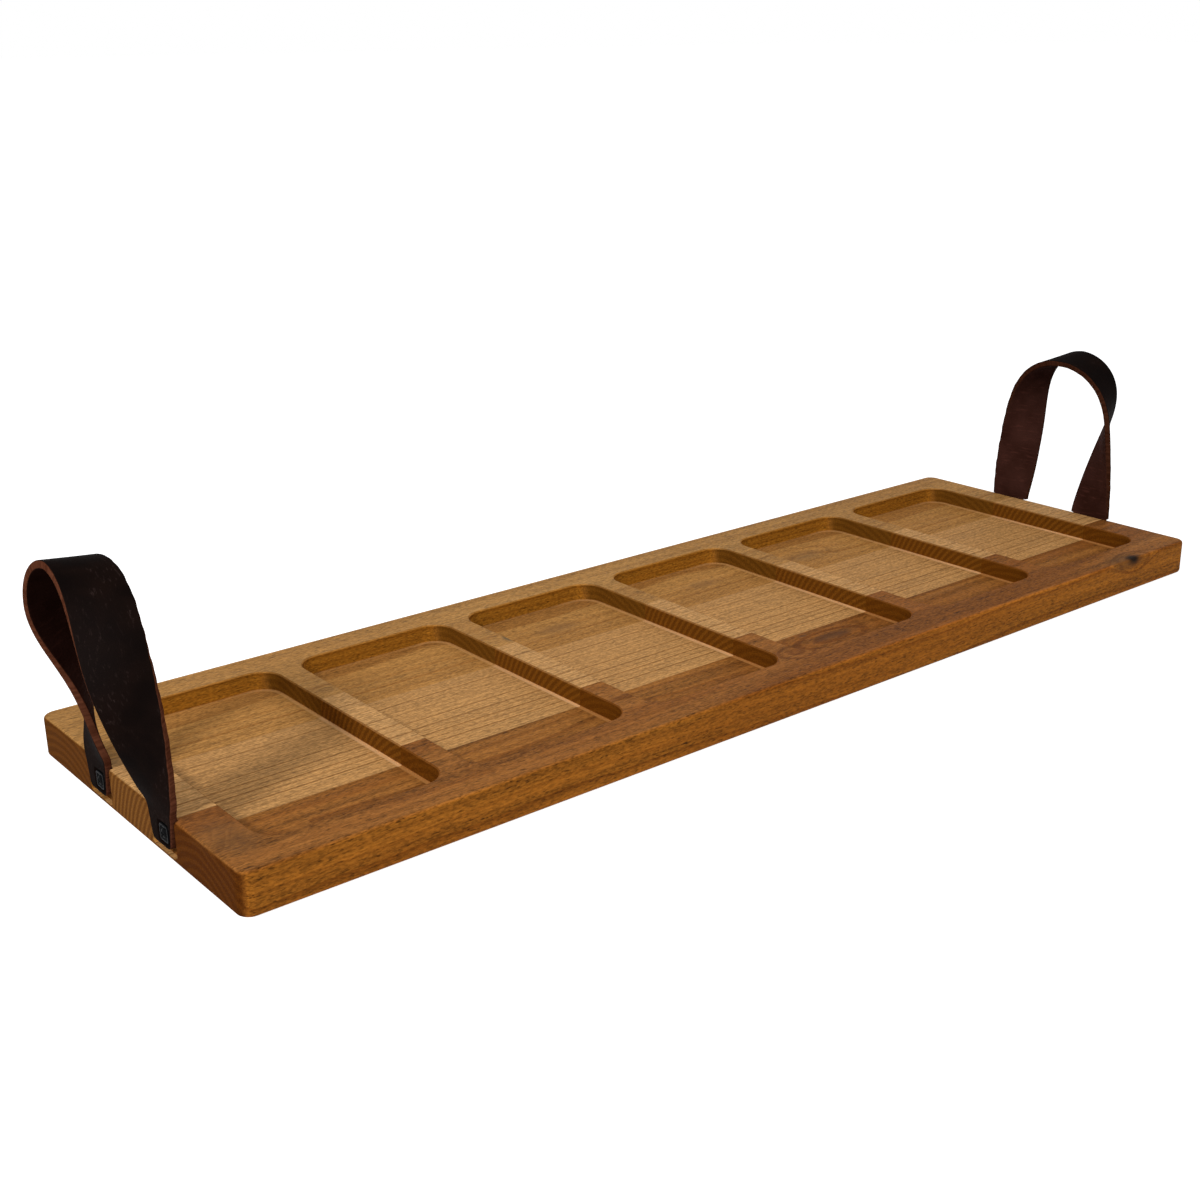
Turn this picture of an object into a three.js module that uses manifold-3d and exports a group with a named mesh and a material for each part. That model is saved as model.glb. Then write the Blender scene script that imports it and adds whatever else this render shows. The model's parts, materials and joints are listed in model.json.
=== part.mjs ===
// Compartment serving tray: three edge-glued beech staves with a row of routed compartments, and a
// twisted leather strap handle clamped to each end by two square plates and screws.
// Millimetres, +Z up. X runs along the tray, Y away from its front edge, and the origin is the
// middle of the underside.

import * as THREE from 'three';
import { mergeVertices } from 'three/addons/utils/BufferGeometryUtils.js';
import Module from 'manifold-3d';

// Board
const boardLength = 700;
const boardWidth = 220;
const boardThickness = 22;
const boardCornerRadius = 7;
const boardEdgeRadius = 2;
const frontStaveWidth = 65;
const middleStaveWidth = 77;

// Compartments, routed from the top after the staves are glued
const compartmentCount = 6;
const compartmentDepth = 10.5;
const compartmentCornerRadius = 13.5;
const compartmentRimEase = 0.6;
const endRim = 23;
const sideRim = 22;
const dividerWidth = 15;

// Leather strap: each leg leaves its clamp flat against the end of the board, twists as it rises,
// and bends over at the crown
const strapWidth = 29;
const strapThickness = 3.75;
const strapEdgeBevel = 0.5;
const strapSpacing = 68;
const strapLegLength = 126;
const strapLean = THREE.MathUtils.degToRad(10);
const strapBendRamp = 54;
const strapTwistHold = 80;
const strapTwistLeftAtCrown = 0.22;
const strapSwingClearance = 0.4;

// Strap tails, trimmed narrower than the strap with square shoulders, narrowing further towards their
// ends, and the stopped notches that they lie in
const tailWidth = 24;
const tailEndWidth = 18;
const tailOffset = 1.2;
const tailCornerRadius = 3;
const tailEndHeight = 6.3;
const notchDepth = 2.4;
const notchClearance = 0.8;
const notchEndClearance = 3.8;

// Clamp plates, drawn into the leather by their screws, a little to one side of each tail's middle
const plateSize = 8.4;
const plateThickness = 1.5;
const plateCornerRadius = 1.6;
const plateRimWidth = 1.1;
const plateRimHeight = 0.5;
const plateHeight = 13.5;
const plateSink = 1.5;
const plateShift = 3.5;
const screwHeadDiameter = 5;
const screwHeadHeight = 1.2;
const screwDiameter = 3;
const screwLength = 17;
const screwTipLength = 3;

// Gap left where one piece passes through or turns beside another
const fitGap = 0.3;

// Facets
const cornerSteps = 8;
const edgeSteps = 4;
const strapSteps = 36;
const strapEndSteps = 3;
const roundSteps = 24;
const notchSteps = 6;

// Sizes worked out from the driving dimensions
const compartmentLength =
  (boardLength - 2 * endRim - (compartmentCount - 1) * dividerWidth) / compartmentCount;
const compartmentWidth = boardWidth - 2 * sideRim;
const frontSeam = -boardWidth / 2 + frontStaveWidth;
const rearSeam = frontSeam + middleStaveWidth;
const tailCentre = strapSpacing / 2 + tailOffset;
const tailProud = strapThickness - notchDepth;
const hingeHeight = boardThickness + strapThickness / 2 + strapSwingClearance;
const tailTop = hingeHeight - strapThickness / 2 - fitGap;
const plateBack = tailProud - plateSink;
const screwSeat = plateThickness - plateRimHeight;
const screwHoleRadius = screwDiameter / 2 + fitGap;

// How far a cutting shape runs past the face that it opens
const cutOvershoot = 5;

const materials = {
  frontWood: new THREE.MeshStandardMaterial({ color: 0x9c6234, roughness: 0.6, metalness: 0 }),
  middleWood: new THREE.MeshStandardMaterial({ color: 0xbf905a, roughness: 0.6, metalness: 0 }),
  rearWood: new THREE.MeshStandardMaterial({ color: 0xa9774a, roughness: 0.6, metalness: 0 }),
  leather: new THREE.MeshStandardMaterial({ color: 0x2b1d19, roughness: 0.55, metalness: 0 }),
  blackSteel: new THREE.MeshStandardMaterial({ color: 0x1d1d1f, roughness: 0.45, metalness: 0.8 }),
};

const wasm = await Module();
wasm.setup();

function toSolid(geometry) {
  const bare = geometry.clone();
  bare.deleteAttribute('normal');
  bare.deleteAttribute('uv');
  const merged = mergeVertices(bare);
  const vertProperties = new Float32Array(merged.attributes.position.array);
  const triVerts = new Uint32Array(merged.index.array);
  return new wasm.Manifold(new wasm.Mesh({ numProp: 3, vertProperties, triVerts }));
}

function toGeometry(solid) {
  const mesh = solid.getMesh();
  const geometry = new THREE.BufferGeometry();
  geometry.setAttribute('position', new THREE.BufferAttribute(new Float32Array(mesh.vertProperties), 3));
  geometry.setIndex(new THREE.BufferAttribute(new Uint32Array(mesh.triVerts), 1));
  geometry.computeVertexNormals();
  return geometry;
}

// Skin a row of convex rings, each with as many points, and close both ends
function loftRings(rings) {
  const count = rings[0].length;
  const last = (rings.length - 1) * count;
  const triangles = [];
  for (let ring = 0; ring < rings.length - 1; ring += 1) {
    for (let point = 0; point < count; point += 1) {
      const a = ring * count + point;
      const b = ring * count + ((point + 1) % count);
      triangles.push(a, b, b + count, a, b + count, a + count);
    }
  }
  for (let point = 1; point < count - 1; point += 1) {
    triangles.push(0, point + 1, point);
    triangles.push(last, last + point, last + point + 1);
  }
  const geometry = new THREE.BufferGeometry().setFromPoints(rings.flat());
  geometry.setIndex(triangles);
  geometry.computeVertexNormals();
  return geometry;
}

// Counter-clockwise rounded rectangle about the origin, at height z
function roundedRing(length, width, radius, z) {
  const ring = [];
  const corners = [[1, 1], [-1, 1], [-1, -1], [1, -1]];
  corners.forEach(([signX, signY], corner) => {
    for (let step = 0; step <= cornerSteps; step += 1) {
      const angle = (corner + step / cornerSteps) * Math.PI / 2;
      const x = signX * (length / 2 - radius) + radius * Math.cos(angle);
      const y = signY * (width / 2 - radius) + radius * Math.sin(angle);
      ring.push(new THREE.Vector3(x, y, z));
    }
  });
  return ring;
}

// Upright outline in the plane of an end face: flat on top, with both lower corners rounded
function tailOutline(topWidth, endWidth, bottom, top, radius) {
  const upper = new THREE.Vector2(topWidth / 2, top);
  const corner = new THREE.Vector2(endWidth / 2, bottom);
  const roundStart = upper.clone().sub(corner).setLength(radius).add(corner);
  const shape = new THREE.Shape();
  shape.moveTo(upper.x, top);
  shape.lineTo(-upper.x, top);
  shape.lineTo(-roundStart.x, roundStart.y);
  shape.quadraticCurveTo(-corner.x, bottom, radius - corner.x, bottom);
  shape.lineTo(corner.x - radius, bottom);
  shape.quadraticCurveTo(corner.x, bottom, roundStart.x, roundStart.y);
  shape.closePath();
  return shape;
}

function roundedSquare(size, radius) {
  const shape = new THREE.Shape();
  roundedRing(size, size, radius, 0).forEach((corner, index) => {
    if (index === 0) {
      shape.moveTo(corner.x, corner.y);
    } else {
      shape.lineTo(corner.x, corner.y);
    }
  });
  shape.closePath();
  return shape;
}

// Extrude an upright outline along X, from startX to endX
function extrudeAlongX(shape, startX, endX) {
  const geometry = new THREE.ExtrudeGeometry(shape, {
    depth: endX - startX,
    bevelEnabled: false,
    curveSegments: notchSteps,
  });
  const axes = [new THREE.Vector3(0, 1, 0), new THREE.Vector3(0, 0, 1), new THREE.Vector3(1, 0, 0)];
  geometry.applyMatrix4(new THREE.Matrix4().makeBasis(...axes));
  return geometry.translate(startX, 0, 0);
}

function roundHole(x, y) {
  const hole = new THREE.Path();
  hole.absarc(x, y, screwHoleRadius, 0, 2 * Math.PI, true);
  return hole;
}

// Board

// The glued blank, with its long edges eased all round
function panelBlank() {
  const rings = [];
  for (const [sign, first] of [[-1, 0], [1, boardThickness]]) {
    for (let step = 0; step <= edgeSteps; step += 1) {
      const turn = (sign < 0 ? edgeSteps - step : step) / edgeSteps * Math.PI / 2;
      const inset = boardEdgeRadius * (1 - Math.cos(turn));
      const z = first - sign * boardEdgeRadius * (1 - Math.sin(turn));
      const radius = boardCornerRadius - inset;
      rings.push(roundedRing(boardLength - 2 * inset, boardWidth - 2 * inset, radius, z));
    }
  }
  return toSolid(loftRings(rings));
}

function compartmentCutter(index) {
  const floor = boardThickness - compartmentDepth;
  const levels = [
    [floor, 0],
    [boardThickness - compartmentRimEase, 0],
    [boardThickness, compartmentRimEase],
    [boardThickness + cutOvershoot, compartmentRimEase],
  ];
  const rings = levels.map(([z, grow]) => roundedRing(
    compartmentLength + 2 * grow,
    compartmentWidth + 2 * grow,
    compartmentCornerRadius + grow,
    z,
  ));
  const firstCentre = -boardLength / 2 + endRim + compartmentLength / 2;
  const centre = firstCentre + index * (compartmentLength + dividerWidth);
  return toSolid(loftRings(rings).translate(centre, 0, 0));
}

// Stopped notch for a strap tail, open at the end face and at the top
function notchCutter(side, y) {
  const width = tailWidth + 2 * notchClearance;
  const bottom = tailEndHeight - notchEndClearance;
  const top = boardThickness + cutOvershoot;
  const outline = tailOutline(width, width, bottom, top, tailCornerRadius);
  const cutter = extrudeAlongX(outline, boardLength / 2 - notchDepth, boardLength / 2 + cutOvershoot);
  cutter.rotateZ(side > 0 ? 0 : Math.PI);
  return toSolid(cutter.translate(0, y, 0));
}

function pilotCutter(side, y) {
  const depth = screwLength - screwSeat - plateBack + fitGap;
  const cutter = new THREE.CylinderGeometry(screwHoleRadius, screwHoleRadius, depth, roundSteps);
  cutter.rotateZ(Math.PI / 2);
  return toSolid(cutter.translate(side * (boardLength - depth) / 2, y, plateHeight));
}

function staveSlab(startY, endY) {
  const slab = new THREE.BoxGeometry(2 * boardLength, endY - startY, 4 * boardThickness);
  return toSolid(slab.translate(0, (startY + endY) / 2, 0));
}

function makeBoard() {
  let panel = panelBlank();
  for (let index = 0; index < compartmentCount; index += 1) {
    panel = panel.subtract(compartmentCutter(index));
  }
  for (const side of [-1, 1]) {
    for (const y of [-tailCentre, tailCentre]) {
      panel = panel.subtract(notchCutter(side, y));
      panel = panel.subtract(pilotCutter(side, y + side * plateShift));
    }
  }
  const staves = [
    ['front_stave', -boardWidth, frontSeam, materials.frontWood],
    ['middle_stave', frontSeam, rearSeam, materials.middleWood],
    ['rear_stave', rearSeam, boardWidth, materials.rearWood],
  ];
  const board = new THREE.Group();
  for (const [name, startY, endY, material] of staves) {
    const geometry = toGeometry(panel.intersect(staveSlab(startY, endY)));
    const stave = new THREE.Mesh(geometry, material);
    stave.name = name;
    board.add(stave);
  }
  return board;
}

// Strap loop. The strap bends only across its thickness and twists about its own length, as flat
// leather does, so its middle line never curves within its own face.

// Walk up one leg from the bend line. A frame holds the position, the way along the strap, its
// outer side and its width. The crown's curvature, the twist and the place of the bend are given.
function walkLeg(crownCurvature, twistRate, bendCentre) {
  const step = strapLegLength / strapSteps;
  const position = new THREE.Vector3(0, -strapSpacing / 2, 0);
  let along = new THREE.Vector3(Math.sin(strapLean), 0, Math.cos(strapLean));
  let outer = new THREE.Vector3(Math.cos(strapLean), 0, -Math.sin(strapLean));
  let across = new THREE.Vector3(0, -1, 0);
  const frames = [{ position: position.clone(), along, outer, across }];
  for (let index = 0; index < strapSteps; index += 1) {
    const middle = (index + 0.5) * step;
    const bendStart = bendCentre - strapBendRamp / 2;
    const bend = crownCurvature * step
      * THREE.MathUtils.smoothstep(middle, bendStart, bendStart + strapBendRamp);
    const eased = THREE.MathUtils.smoothstep(middle, strapTwistHold, strapLegLength);
    const twist = twistRate * step * (1 - (1 - strapTwistLeftAtCrown) * eased);
    const bentAlong = along.clone().multiplyScalar(Math.cos(bend)).addScaledVector(outer, -Math.sin(bend));
    const bentOuter = outer.clone().multiplyScalar(Math.cos(bend)).addScaledVector(along, Math.sin(bend));
    position.addScaledVector(along, step / 2).addScaledVector(bentAlong, step / 2);
    outer = bentOuter.clone().multiplyScalar(Math.cos(twist)).addScaledVector(across, Math.sin(twist));
    across = across.clone().multiplyScalar(Math.cos(twist)).addScaledVector(bentOuter, -Math.sin(twist));
    along = bentAlong;
    frames.push({ position: position.clone(), along, outer, across });
  }
  return frames;
}

// The crown lies midway between the legs and runs level, straight across the tray
function crownError(unknowns) {
  const crown = walkLeg(unknowns.x, unknowns.y, unknowns.z).at(-1);
  return new THREE.Vector3(crown.along.x, crown.along.z, crown.position.y / strapSpacing);
}

// Newton's method finds the curvature, twist and bend place that bring both legs together. It
// starts from a leg that would bend and twist at its crown's rate by the turns given, in radians.
function solveLeg() {
  const firstBendTurn = 4;
  const firstTwistTurn = 2;
  const firstBendShare = 0.6;
  const largestShareMoved = 0.2;
  const unknowns = new THREE.Vector3(firstBendTurn, firstTwistTurn, 0).divideScalar(strapLegLength);
  unknowns.z = firstBendShare * strapLegLength;
  const largestMove = unknowns.clone().multiplyScalar(largestShareMoved);
  const probe = 1e-4;
  const tolerance = 1e-9;
  const mostRounds = 60;
  for (let round = 0; round < mostRounds; round += 1) {
    const error = crownError(unknowns);
    if (error.length() < tolerance) {
      break;
    }
    const columns = ['x', 'y', 'z'].map((axis) => {
      const shifted = unknowns.clone();
      const shift = probe * largestMove[axis];
      shifted[axis] += shift;
      return crownError(shifted).sub(error).divideScalar(shift);
    });
    const slope = new THREE.Matrix3().set(
      columns[0].x, columns[1].x, columns[2].x,
      columns[0].y, columns[1].y, columns[2].y,
      columns[0].z, columns[1].z, columns[2].z,
    );
    const move = error.applyMatrix3(slope.invert()).negate();
    const excess = Math.max(...['x', 'y', 'z'].map((axis) => Math.abs(move[axis]) / largestMove[axis]));
    unknowns.addScaledVector(move, 1 / Math.max(1, excess));
  }
  return walkLeg(unknowns.x, unknowns.y, unknowns.z);
}

// One section of the strap, with its edges bevelled
function strapSection(frame, halfThickness) {
  const edge = strapWidth / 2;
  const bevel = Math.min(strapEdgeBevel, halfThickness / 2);
  const outline = [
    [halfThickness, edge - bevel],
    [halfThickness, bevel - edge],
    [halfThickness - bevel, -edge],
    [bevel - halfThickness, -edge],
    [-halfThickness, bevel - edge],
    [-halfThickness, edge - bevel],
    [bevel - halfThickness, edge],
    [halfThickness - bevel, edge],
  ];
  return outline.map(([out, side]) => frame.position.clone()
    .addScaledVector(frame.outer, out)
    .addScaledVector(frame.across, side));
}

// Rings of the half that rises at the front, from its rounded end at the bend line to the crown
function legRings() {
  const frames = solveLeg();
  const halfThickness = strapThickness / 2;
  const flatEndShare = 0.5;
  const rings = [];
  for (let step = strapEndSteps; step > 0; step -= 1) {
    const turn = step / (strapEndSteps + flatEndShare) * Math.PI / 2;
    const base = frames[0];
    const position = base.position.clone().addScaledVector(base.along, -halfThickness * Math.sin(turn));
    rings.push(strapSection({ ...base, position }, halfThickness * Math.cos(turn)));
  }
  frames.forEach((frame) => rings.push(strapSection(frame, halfThickness)));
  return rings;
}

function strapLoopGeometry() {
  const front = legRings();
  const rear = front.slice(0, -1).reverse().map(
    (ring) => ring.map((point) => new THREE.Vector3(point.x, -point.y, point.z)),
  );
  return loftRings([...front, ...rear]);
}

// Clamp hardware, in the frame of an end face: X points out of the board

function tailGeometry() {
  const outline = tailOutline(tailWidth, tailEndWidth, tailEndHeight, tailTop, tailCornerRadius);
  outline.holes.push(roundHole(plateShift, plateHeight));
  const tail = toSolid(extrudeAlongX(outline, -notchDepth, tailProud));
  const hollow = roundedSquare(plateSize + 2 * fitGap, plateCornerRadius + fitGap);
  const press = extrudeAlongX(hollow, plateBack, tailProud + cutOvershoot);
  return toGeometry(tail.subtract(toSolid(press.translate(0, plateShift, plateHeight))));
}

function plateGeometry() {
  const outline = roundedSquare(plateSize, plateCornerRadius);
  outline.holes.push(roundHole(0, 0));
  const plate = toSolid(extrudeAlongX(outline, 0, plateThickness));
  const dishSize = plateSize - 2 * plateRimWidth;
  const dishRadius = Math.max(plateCornerRadius - plateRimWidth, plateRimHeight);
  const dish = extrudeAlongX(roundedSquare(dishSize, dishRadius), screwSeat, plateThickness + cutOvershoot);
  return toGeometry(plate.subtract(toSolid(dish)));
}

// Domed head above its seat at X = 0, with a plain pointed shank behind it
function screwGeometry() {
  const headRadius = screwHeadDiameter / 2;
  const shankRadius = screwDiameter / 2;
  const domeSteps = 5;
  const profile = [new THREE.Vector2(0, -screwLength)];
  profile.push(new THREE.Vector2(shankRadius, screwTipLength - screwLength));
  profile.push(new THREE.Vector2(shankRadius, 0));
  for (let step = 0; step < domeSteps; step += 1) {
    const turn = step / domeSteps * Math.PI / 2;
    profile.push(new THREE.Vector2(headRadius * Math.cos(turn), screwHeadHeight * Math.sin(turn)));
  }
  profile.push(new THREE.Vector2(0, screwHeadHeight));
  return new THREE.LatheGeometry(profile, roundSteps).rotateZ(-Math.PI / 2);
}

function makeEnd(endName, side) {
  const end = new THREE.Group();
  end.position.x = side * boardLength / 2;
  end.rotation.z = side > 0 ? 0 : Math.PI;

  const loop = new THREE.Mesh(strapLoopGeometry(), materials.leather);
  loop.name = `${endName}_strap_loop`;
  loop.position.set(tailProud - strapThickness / 2, 0, hingeHeight);
  end.add(loop);

  for (const [legName, legSide] of [['front', -1], ['rear', 1]]) {
    const y = legSide * side * tailCentre;
    const tail = new THREE.Mesh(tailGeometry(), materials.leather);
    tail.name = `${endName}_${legName}_tail`;
    tail.position.set(0, y, 0);

    const plate = new THREE.Mesh(plateGeometry(), materials.blackSteel);
    plate.name = `${endName}_${legName}_plate`;
    plate.position.set(plateBack, y + plateShift, plateHeight);

    const screw = new THREE.Mesh(screwGeometry(), materials.blackSteel);
    screw.name = `${endName}_${legName}_screw`;
    screw.position.set(plateBack + screwSeat, y + plateShift, plateHeight);

    end.add(tail, plate, screw);
  }
  return end;
}

const tray = new THREE.Group();
tray.add(makeBoard(), makeEnd('left', -1), makeEnd('right', 1));

export default tray;
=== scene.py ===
"""Looks of the compartment serving tray, laid out as an add-on and run as a script.

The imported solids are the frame. The staves are dressed copies of their solids. The straps, clamp plates
and screws are surfaces worked out with numpy in the same frame, in metres.
"""

import json
import math
from collections import namedtuple

import bpy
import numpy as np
from mathutils import Matrix, Vector


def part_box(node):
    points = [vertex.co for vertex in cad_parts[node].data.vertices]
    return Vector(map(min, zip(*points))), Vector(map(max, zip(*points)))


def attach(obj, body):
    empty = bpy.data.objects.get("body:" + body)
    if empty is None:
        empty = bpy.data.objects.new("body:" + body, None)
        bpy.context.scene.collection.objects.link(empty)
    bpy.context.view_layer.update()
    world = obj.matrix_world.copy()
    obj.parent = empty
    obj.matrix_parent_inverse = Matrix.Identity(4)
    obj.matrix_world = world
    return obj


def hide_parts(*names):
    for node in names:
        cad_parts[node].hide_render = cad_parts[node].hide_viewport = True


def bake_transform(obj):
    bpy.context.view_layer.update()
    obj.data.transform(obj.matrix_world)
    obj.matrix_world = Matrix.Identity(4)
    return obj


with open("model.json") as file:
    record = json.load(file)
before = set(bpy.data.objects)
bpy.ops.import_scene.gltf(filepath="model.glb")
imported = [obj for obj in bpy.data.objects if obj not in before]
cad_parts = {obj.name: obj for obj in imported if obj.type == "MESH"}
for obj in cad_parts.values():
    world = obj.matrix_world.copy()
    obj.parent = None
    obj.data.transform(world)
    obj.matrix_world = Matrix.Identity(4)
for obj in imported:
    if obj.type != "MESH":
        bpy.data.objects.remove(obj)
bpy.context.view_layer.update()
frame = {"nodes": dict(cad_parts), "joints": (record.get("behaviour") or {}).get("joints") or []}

bl_info = {
    "name": "Compartment Serving Tray",
    "version": (1, 0, 0),
    "blender": (4, 5, 0),
    "location": "3D View > Sidebar > Tray",
    "description": "Dresses the serving tray's solids in oiled wood, strap leather and black steel",
    "category": "Object",
}

# Names of the solids, and the side of the middle that each end and leg lies on
STAVES = {"front_stave": "front_wood", "middle_stave": "middle_wood", "rear_stave": "rear_wood"}
ENDS = {"left": -1, "right": 1}
LEGS = {"front": -1, "rear": 1}

# Places read from the solids
BOARD_HALF_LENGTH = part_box("middle_stave")[1].x
BOARD_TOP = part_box("middle_stave")[1].z
TAIL_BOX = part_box("right_front_tail")
PLATE_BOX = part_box("right_front_plate")
SCREW_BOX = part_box("right_front_screw")
HINGE = {joint["name"]: joint["pos_m"] for joint in frame["joints"]}["right_handle_swing"]


def paint(red, green, blue):
    """A screen colour from 0 to 255, as the linear values that shaders take, by the sRGB curve."""
    part = np.array([red, green, blue]) / 255
    linear = np.where(part <= 0.04045, part / 12.92, ((part + 0.055) / 1.055) ** 2.4)
    return tuple(float(value) for value in linear)


def tinted(base, tint):
    """A colour with each channel multiplied by the tint's."""
    return tuple(float(value) for value in np.array(base[:3]) * tint)


def smooth_rise(value, start, end):
    """0 before start, 1 after end, and 3t^2 - 2t^3 of the way t between them."""
    way = np.clip((value - start) / (end - start), 0, 1)
    return way * way * (3 - 2 * way)


def length(name, words, default):
    """A length that the sidebar shows with its unit."""
    return bpy.props.FloatProperty(
        name=name, description=words, default=default, precision=5, unit="LENGTH"
    )


def share(name, words, default):
    """A plain share from 0 to 1."""
    return bpy.props.FloatProperty(name=name, description=words, default=default, min=0, max=1)


def strength(name, words, default):
    """A plain strength from 0 up."""
    return bpy.props.FloatProperty(name=name, description=words, default=default, min=0)


def power(name, words, default):
    """A lamp's power, which the sidebar shows with its unit."""
    return bpy.props.FloatProperty(name=name, description=words, default=default, min=0, unit="POWER")


def colour(name, words, default):
    """A colour that the sidebar shows as a swatch."""
    return bpy.props.FloatVectorProperty(
        name=name, description=words, default=default, size=3, min=0, max=1, subtype="COLOR"
    )


class TrayStrapSizes(bpy.types.PropertyGroup):
    """Sizes of the leather straps, as the solids have them, and how the leather settles from there"""

    width: length("Width", "Full width of the strap", 0.029)
    edge_radius: length("Edge radius", "Rounding along the strap's raw edges", 0.0008)
    spacing: length("Leg spacing", "Distance between the middles of the two legs", 0.068)
    leg_length: length("Leg length", "Strap length from the bend line to the crown", 0.126)
    lean: bpy.props.FloatProperty(
        name="Lean",
        description="Outward lean of each leg at the bend line",
        default=math.radians(10),
        subtype="ANGLE",
    )
    bend_ramp: length("Bend ramp", "Length over which the crown's curve sets in", 0.054)
    twist_hold: length("Twist hold", "Length of leg that twists at the full rate", 0.080)
    twist_left: share("Twist left", "Share of the twist rate that is left at the crown", 0.22)
    left_shoulder: length("Left shoulder", "Length over which the left tails widen", 0.009)
    right_shoulder: length("Right shoulder", "Length over which the right tails widen", 0.0005)
    left_rise: length("Left rise", "How far the left crown stands above the solid's", 0.0022)
    right_rise: length("Right rise", "How far the right crown stands above the solid's", -0.0035)
    rear_bow: length("Rear bow", "How far the left strap's rear leg bows towards the board", 0.0045)
    bow_length: length("Bow length", "Length of leg that the bow takes up", 0.086)
    tail_width: length("Tail width", "Width of the tail at the bend line", 0.024)
    tail_end_width: length("Tail end width", "Width of the tail at its lower end", 0.018)
    tail_offset: length("Tail offset", "Outward shift of the tail from the leg's middle", 0.0012)
    tail_corner: length("Tail corner", "Rounding of the tail's lower corners", 0.003)
    plate_hollow: length("Plate hollow", "How deep the plate is drawn into the leather", 0.0015)


class TrayHardwareSizes(bpy.types.PropertyGroup):
    """Sizes of the clamp plates and screws, as the solids have them"""

    plate_corner: length("Plate corner", "Rounding of the plate's corners", 0.0016)
    plate_rim: length("Plate rim", "Width of the plate's raised rim", 0.0011)
    plate_rim_height: length("Rim height", "Height of the rim above the dish", 0.0005)
    head_diameter: length("Head diameter", "Diameter of the screw's head", 0.005)
    head_height: length("Head height", "Height of the screw's domed head", 0.0012)
    shank_diameter: length("Shank diameter", "Diameter of the screw's shank", 0.003)
    tip_length: length("Tip length", "Length of the screw's point", 0.003)


class TrayColours(bpy.types.PropertyGroup):
    """Main colour of each finish"""

    front_wood: colour("Front wood", "Oiled reddish stave", paint(148, 96, 44))
    middle_wood: colour("Middle wood", "Oiled pale stave", paint(188, 140, 85))
    rear_wood: colour("Rear wood", "Oiled mid-brown stave", paint(174, 125, 67))
    leather_outer: colour("Leather outside", "Smooth dyed side of the strap", paint(14, 9, 8))
    leather_inner: colour("Leather inside", "Red-brown side of the strap", paint(58, 33, 27))
    leather_edge: colour("Leather edge", "Raw cut edge of the strap", paint(94, 54, 37))
    steel: colour("Steel", "Satin black plates and screws", paint(13, 13, 14))


class TrayStudio(bpy.types.PropertyGroup):
    """Levels of the studio light"""

    overhead: strength("Overhead", "Strength of the white surroundings overhead", 0.6)
    horizon: strength("Horizon", "Strength of the white surroundings at the horizon", 0.12)
    key: power("Key", "Power of the soft key lamp", 17.5)
    fill: power("Fill", "Power of the wide front lamp", 12)


# Materials


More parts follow.
